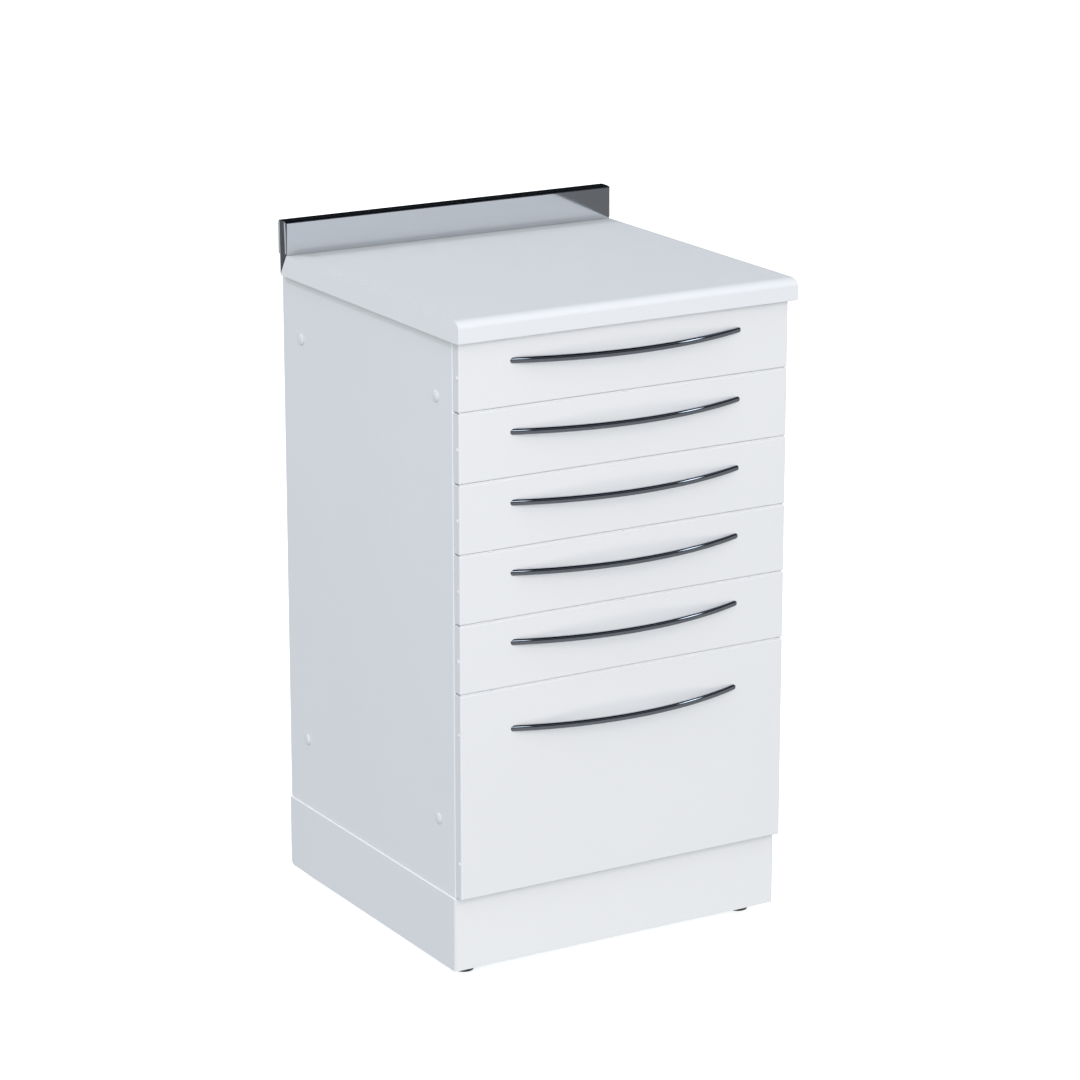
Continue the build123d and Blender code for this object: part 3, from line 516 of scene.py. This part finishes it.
# ---------------------------------------------------------------------------
# Ends of the upstand: dark insert between the pale front wall and the pale wall seal
# ---------------------------------------------------------------------------
def plate(bm, outline, x0, x1, soft):
    """Prism over an outline of (y, z), with softened edges."""
    a = [bm.verts.new((x0, y, z)) for y, z in outline]
    b = [bm.verts.new((x1, y, z)) for y, z in outline]
    faces = [bm.faces.new(a), bm.faces.new(b[::-1])]
    for k in range(len(a)):
        m = (k + 1) % len(a)
        faces.append(bm.faces.new((a[k], b[k], b[m], a[m])))
    edges = {e for f in faces for e in f.edges}
    bmesh.ops.bevel(bm, geom=list(edges), offset=soft, segments=2, affect="EDGES", profile=0.5)


UP_TOP, UP_BACK, UP_REAR, WT_LOW = 0.9075, 0.2425, 0.2466, 0.8345
bm = bmesh.new()
for s in (-1, 1):
    plate(bm, [(0.2284, WT_TOP + 0.0006), (0.2302, UP_TOP - 0.0014), (UP_BACK, UP_TOP - 0.0014), (UP_BACK, WT_LOW + 0.0018)],
          s * 0.24611, s * 0.24665, 0.00012)
add_piece("end_inserts", bm, MATS["grey"], "cabinet", "grey_cap", "upstand_end_caps", sharp=math.radians(40))
bm = bmesh.new()
for s in (-1, 1):
    plate(bm, [(0.2262, WT_TOP + 0.0030), (0.2272, UP_TOP - 0.0016), (0.2299, UP_TOP - 0.0016), (0.2280, WT_TOP + 0.0012)],
          s * 0.24611, s * 0.24695, 0.0002)
    plate(bm, [(UP_BACK + 0.0003, UP_TOP - 0.0016), (UP_REAR - 0.0001, UP_TOP - 0.0026), (UP_REAR - 0.0001, WT_TOP + 0.0016),
               (UP_BACK - 0.0001, WT_TOP - 0.0006), (UP_BACK - 0.0001, WT_LOW + 0.0030), (UP_BACK - 0.0018, WT_LOW + 0.0056),
               (UP_BACK - 0.0012, WT_TOP)],
          s * 0.24611, s * 0.24698, 0.0002)
add_piece("end_rims", bm, MATS["rim"], "cabinet", "upstand_aluminium", sharp=math.radians(40))

# sealant between the worktop and the upstand, flush with the worktop; it is assumed, and
# closes the narrow joint that the model has there
bm = bmesh.new()
plate(bm, [(0.2240, WT_TOP - 0.0005), (0.2242, WT_TOP - 0.0001), (0.2257, WT_TOP - 0.0001), (0.2262, WT_TOP - 0.0008),
           (0.2258, WT_TOP - 0.0022), (0.2250, WT_TOP - 0.0020)], -0.2457, 0.2457, 0.00008)
add_piece("sealant_bead", bm, MATS["bead"], "cabinet", "laminate", sharp=math.radians(40))

# ---------------------------------------------------------------------------
# Small pads in the joints between the fronts
# ---------------------------------------------------------------------------
for n, seam in enumerate(SEAMS, 2):
    bm = bmesh.new()
    for x in (-0.1955, -0.0025, 0.190):
        top, foot = seam + 0.00105, seam - 0.00112
        rings = []
        for y, g in ((YF + 0.0021, 0.0), (YF + 0.0011, 0.0), (YF + 0.0007, 0.00012), (YF + 0.00052, 0.0004)):
            w = 0.0016 - g
            ring = []
            for cx, cz, a0 in ((1, 1, 0), (-1, 1, 90), (-1, -1, 180), (1, -1, 270)):
                for k in range(5):
                    a = math.radians(a0 + 22.5 * k)
                    r = 0.0004
                    ring.append((x + cx * (w - r) + r * math.cos(a), y,
                                 (top + foot) / 2 + cz * ((top - foot) / 2 - g * 0.3 - r) + r * math.sin(a)))
            rings.append(ring)
        skin(bm, rings)
    add_piece(f"joint_pads_{n}", bm, MATS["cap"], f"drawer_{n}", "white_cap", sharp=math.radians(50))

# ---------------------------------------------------------------------------
# Levelling feet: ribbed glide pads, rolled thread with a hexagon
# ---------------------------------------------------------------------------
FEET = [(-0.2094, -0.1665), (0.2094, -0.1665), (-0.2094, 0.2162), (0.2094, 0.2162)]
PAD = [(0.3, 0.0), (11.2, 0.0), (12.3, 0.25), (12.85, 0.8), (13.0, 1.5), (13.0, 2.4), (13.0, 3.4), (12.9, 4.1), (12.4, 4.8),
       (11.4, 5.35), (9.6, 6.0), (8.2, 6.5), (7.5, 7.1), (7.3, 7.8), (7.0, 8.2), (5.4, 8.2), (5.2, 7.9), (5.2, 3.0), (0.3, 3.0)]


def pad_ribs(a, h):
    if 0.001 < h < 0.0042:
        return -0.00035 * (0.5 - 0.5 * math.cos(36 * a)) ** 2
    return 0.0


def hexagon(a, limit):
    a = (a + math.pi / 6) % (math.pi / 3) - math.pi / 6
    return min(0.009 * math.cos(math.pi / 6) / math.cos(a), limit)


for k, (x, y) in enumerate(FEET, 1):
    bm = bmesh.new()
    lathe(bm, [(r * MM, h * MM) for r, h in PAD], Matrix.Translation((x, y, 0.0)), 144, pad_ribs)
    add_piece(f"glide_pad_{k}", bm, MATS["foot"], PAD_BODY.format(k), "foot_plastic", f"foot_pad_{k}", sharp=math.radians(50))

    bm = bmesh.new()
    rings = []
    segs, pitch = 40, 0.0015
    steps = 8
    count = int(round((0.048 - 0.0031) / pitch * steps))
    for i in range(count + 1):
        z = 0.0031 + (0.048 - 0.0031) * i / count
        ring = []
        for j in range(segs):
            a = 2 * math.pi * j / segs
            ph = (z / pitch - j / segs) % 1.0
            r = 0.00413 + 0.00085 * max(0.0, 1.0 - abs(ph - 0.5) * 2.3)
            if z < 0.0165:
                r = 0.0044
            r = min(r, 0.0044 + (0.048 - z) * 0.9)
            ring.append((x + r * math.cos(a), y + r * math.sin(a), z))
        rings.append(ring)
    skin(bm, rings)
    rings = []
    for z, lim in ((0.0086, 0.0045), (0.0086, 0.0078), (0.0090, 0.0084), (0.0094, 0.0091), (0.0144, 0.0091), (0.0148, 0.0084), (0.0152, 0.0078), (0.0152, 0.0045)):
        rings.append([(x + hexagon(2 * math.pi * j / 96, lim) * math.cos(2 * math.pi * j / 96),
                       y + hexagon(2 * math.pi * j / 96, lim) * math.sin(2 * math.pi * j / 96), z) for j in range(96)])
    skin(bm, rings, closed_ends=False)
    add_piece(f"threaded_stem_{k}", bm, MATS["steel"], STEM_BODY.format(k), "screw_steel", f"foot_stem_{k}", sharp=math.radians(28))

# ---------------------------------------------------------------------------
# Studio: pale floor, soft surroundings, a large key light and a small high one
# ---------------------------------------------------------------------------
def grid_mesh(name, size, n=1):
    me = bpy.data.meshes.new(name)
    bm = bmesh.new()
    bmesh.ops.create_grid(bm, x_segments=n, y_segments=n, size=size)
    bm.to_mesh(me)
    bm.free()
    return me


floor = bpy.data.objects.new("floor", grid_mesh("floor", 40.0))
scene.collection.objects.link(floor)
ft = Tree("floor_paper")
ft.colour(ft.mix(ft.span(ft.noise(3.0, 3.0, 0.5), 0.0, 1.0, 0.3, 0.7), (0.92, 0.92, 0.925), (0.935, 0.935, 0.94)))
ft.put(Roughness=0.9, Specular_IOR_Level=0.1, Emission_Color=(1.0, 1.0, 1.0, 1.0), Emission_Strength=0.72)
floor.data.materials.append(ft.mat)
floor.visible_glossy = False
floor.visible_diffuse = False

world = bpy.data.worlds.new("studio")
scene.world = world
world.use_nodes = True
wt = world.node_tree
wt.nodes.clear()


def wnode(kind, **values):
    n = wt.nodes.new(kind)
    for k, v in values.items():
        setattr(n, k, v)
    return n


def wput(sock, v):
    if isinstance(v, (int, float)):
        sock.default_value = v
    elif isinstance(v, tuple):
        sock.default_value = (*v, 1.0) if len(sock.default_value) == 4 else v
    else:
        wt.links.new(v, sock)


def wramp(src, stops):
    n = wnode("ShaderNodeValToRGB")
    els = n.color_ramp.elements
    while len(els) < len(stops):
        els.new(0.5)
    for e, (p, c) in zip(els, stops):
        e.position = p
        e.color = (c, c, c, 1.0) if isinstance(c, (int, float)) else (*c, 1.0)
    wt.links.new(src, n.inputs["Fac"])
    return n.outputs["Color"]


def wmath(op, a, b=0.0, c=0.0, clamp=False):
    n = wnode("ShaderNodeMath", operation=op, use_clamp=clamp)
    for sock, v in zip(n.inputs, (a, b, c)):
        wput(sock, v)
    return n.outputs[0]


def wmix(fac, a, b, mode="MIX"):
    n = wnode("ShaderNodeMix", data_type="RGBA", blend_type=mode)
    wput(n.inputs[0], fac)
    wput(n.inputs[6], a)
    wput(n.inputs[7], b)
    return n.outputs[2]


def wspan(v, a, b):
    n = wnode("ShaderNodeMapRange", interpolation_type="SMOOTHSTEP")
    n.inputs["From Min"].default_value = a
    n.inputs["From Max"].default_value = b
    wt.links.new(v, n.inputs["Value"])
    return n.outputs["Result"]


w_out = wnode("ShaderNodeOutputWorld")
w_dir = wnode("ShaderNodeTexCoord").outputs["Generated"]
w_sep = wnode("ShaderNodeSeparateXYZ")
wt.links.new(w_dir, w_sep.inputs[0])
wx, wy, wz = w_sep.outputs

# what matt surfaces gather: a band round the horizon in four quarters, the ceiling, the ground
flat2 = wmath("MAXIMUM", wmath("ADD", wmath("MULTIPLY", wx, wx), wmath("MULTIPLY", wy, wy)), 1e-5)
share_x = wmath("DIVIDE", wmath("MULTIPLY", wx, wx), flat2)
share_y = wmath("SUBTRACT", 1.0, share_x)
is_right = wmath("GREATER_THAN", wx, 0.0)
is_back = wmath("GREATER_THAN", wy, 0.0)
upper = wspan(wz, 0.35, 0.85)
lower = wspan(wz, -0.15, -0.40)
band = wmath("SUBTRACT", wmath("SUBTRACT", 1.0, upper), lower)
ZONES = {
    "front": (wmath("MULTIPLY", share_y, wmath("SUBTRACT", 1.0, is_back)), ZONE_COL["front"]),
    "back": (wmath("MULTIPLY", share_y, is_back), ZONE_COL["back"]),
    "left": (wmath("MULTIPLY", share_x, wmath("SUBTRACT", 1.0, is_right)), ZONE_COL["left"]),
    "right": (wmath("MULTIPLY", share_x, is_right), ZONE_COL["right"]),
}
soft = None
for zone, (weight, tint) in ZONES.items():
    part = wmix(1.0, wmath("MULTIPLY", weight, band), tint, "MULTIPLY")
    part.node.name = "zone_" + zone
    soft = part if soft is None else wmix(1.0, soft, part, "ADD")
for zone, weight in (("upper", upper), ("lower", lower)):
    part = wmix(1.0, weight, ZONE_COL[zone], "MULTIPLY")
    part.node.name = "zone_" + zone
    soft = wmix(1.0, soft, part, "ADD")

# what polished surfaces mirror: a dark ceiling with a faint high strip, a grey room low down
height = wmath("MULTIPLY_ADD", wz, 0.5, 0.5)
mirror = wramp(height, [
    (0.0, (0.27, 0.275, 0.285)), (0.35, (0.17, 0.175, 0.185)), (0.46, (0.145, 0.152, 0.162)), (0.495, (0.12, 0.125, 0.135)),
    (0.52, (0.010, 0.011, 0.014)), (0.60, (0.010, 0.011, 0.014)), (0.66, (0.062, 0.070, 0.084)), (0.78, (0.062, 0.070, 0.084)),
    (0.84, (0.008, 0.009, 0.011)), (1.0, (0.003, 0.0035, 0.0045))])
shade = wmath("MULTIPLY", wspan(wz, 0.0, 0.06), wspan(wy, -0.12, 0.12))
mirror = wmix(shade, mirror, (0.003, 0.0035, 0.0045))


def glow(azimuth, elevation, inner, outer, colour):
    """Soft round light in the mirrored surroundings; azimuth from the front towards the left."""
    a, e = math.radians(azimuth), math.radians(elevation)
    d = wnode("ShaderNodeVectorMath", operation="DOT_PRODUCT")
    wt.links.new(w_dir, d.inputs[0])
    d.inputs[1].default_value = (-math.sin(a) * math.cos(e), -math.cos(a) * math.cos(e), math.sin(e))
    m = wspan(d.outputs["Value"], math.cos(math.radians(outer)), math.cos(math.radians(inner)))
    return wmix(1.0, m, colour, "MULTIPLY")


for spot in (glow(13.0, 24.0, 1.5, 5.0, (2.2, 2.5, 2.9)), glow(-56.0, 20.0, 2.0, 6.5, (2.3, 2.6, 3.0))):
    mirror = wmix(1.0, mirror, spot, "ADD")

lp = wnode("ShaderNodeLightPath")
rays = wmix(lp.outputs["Is Glossy Ray"], soft, mirror)
rays = wmix(lp.outputs["Is Camera Ray"], rays, (1.0, 1.0, 1.0))
bg = wnode("ShaderNodeBackground")
wt.links.new(rays, bg.inputs["Color"])
wt.links.new(bg.outputs[0], w_out.inputs["Surface"])


def area(name, at, aim, size, power, colour=(1, 1, 1)):
    li = bpy.data.lights.new(name, "AREA")
    li.shape = "RECTANGLE"
    li.size = li.size_y = size
    li.energy = power
    li.color = colour
    ob = bpy.data.objects.new(name, li)
    scene.collection.objects.link(ob)
    ob.location = at
    ob.rotation_euler = (Vector(aim) - Vector(at)).to_track_quat("-Z", "Y").to_euler()
    ob.visible_camera = False
    ob.visible_glossy = False
    return ob


def aimed(azimuth, elevation, distance, aim=(0.0, 0.0, 0.55)):
    a, e = math.radians(azimuth), math.radians(elevation)
    return tuple(aim[i] + distance * v for i, v in enumerate((-math.sin(a) * math.cos(e), -math.cos(a) * math.cos(e), math.sin(e))))


area("key", aimed(20.0, 20.0, 4.0), (0.0, 0.0, 0.55), 1.75, KEY_POWER, KEY_COL)
area("high_back", (-2.65, 2.05, 4.4), (0.0, 0.0, 0.7), 0.25, HIGH_POWER, HIGH_COL)
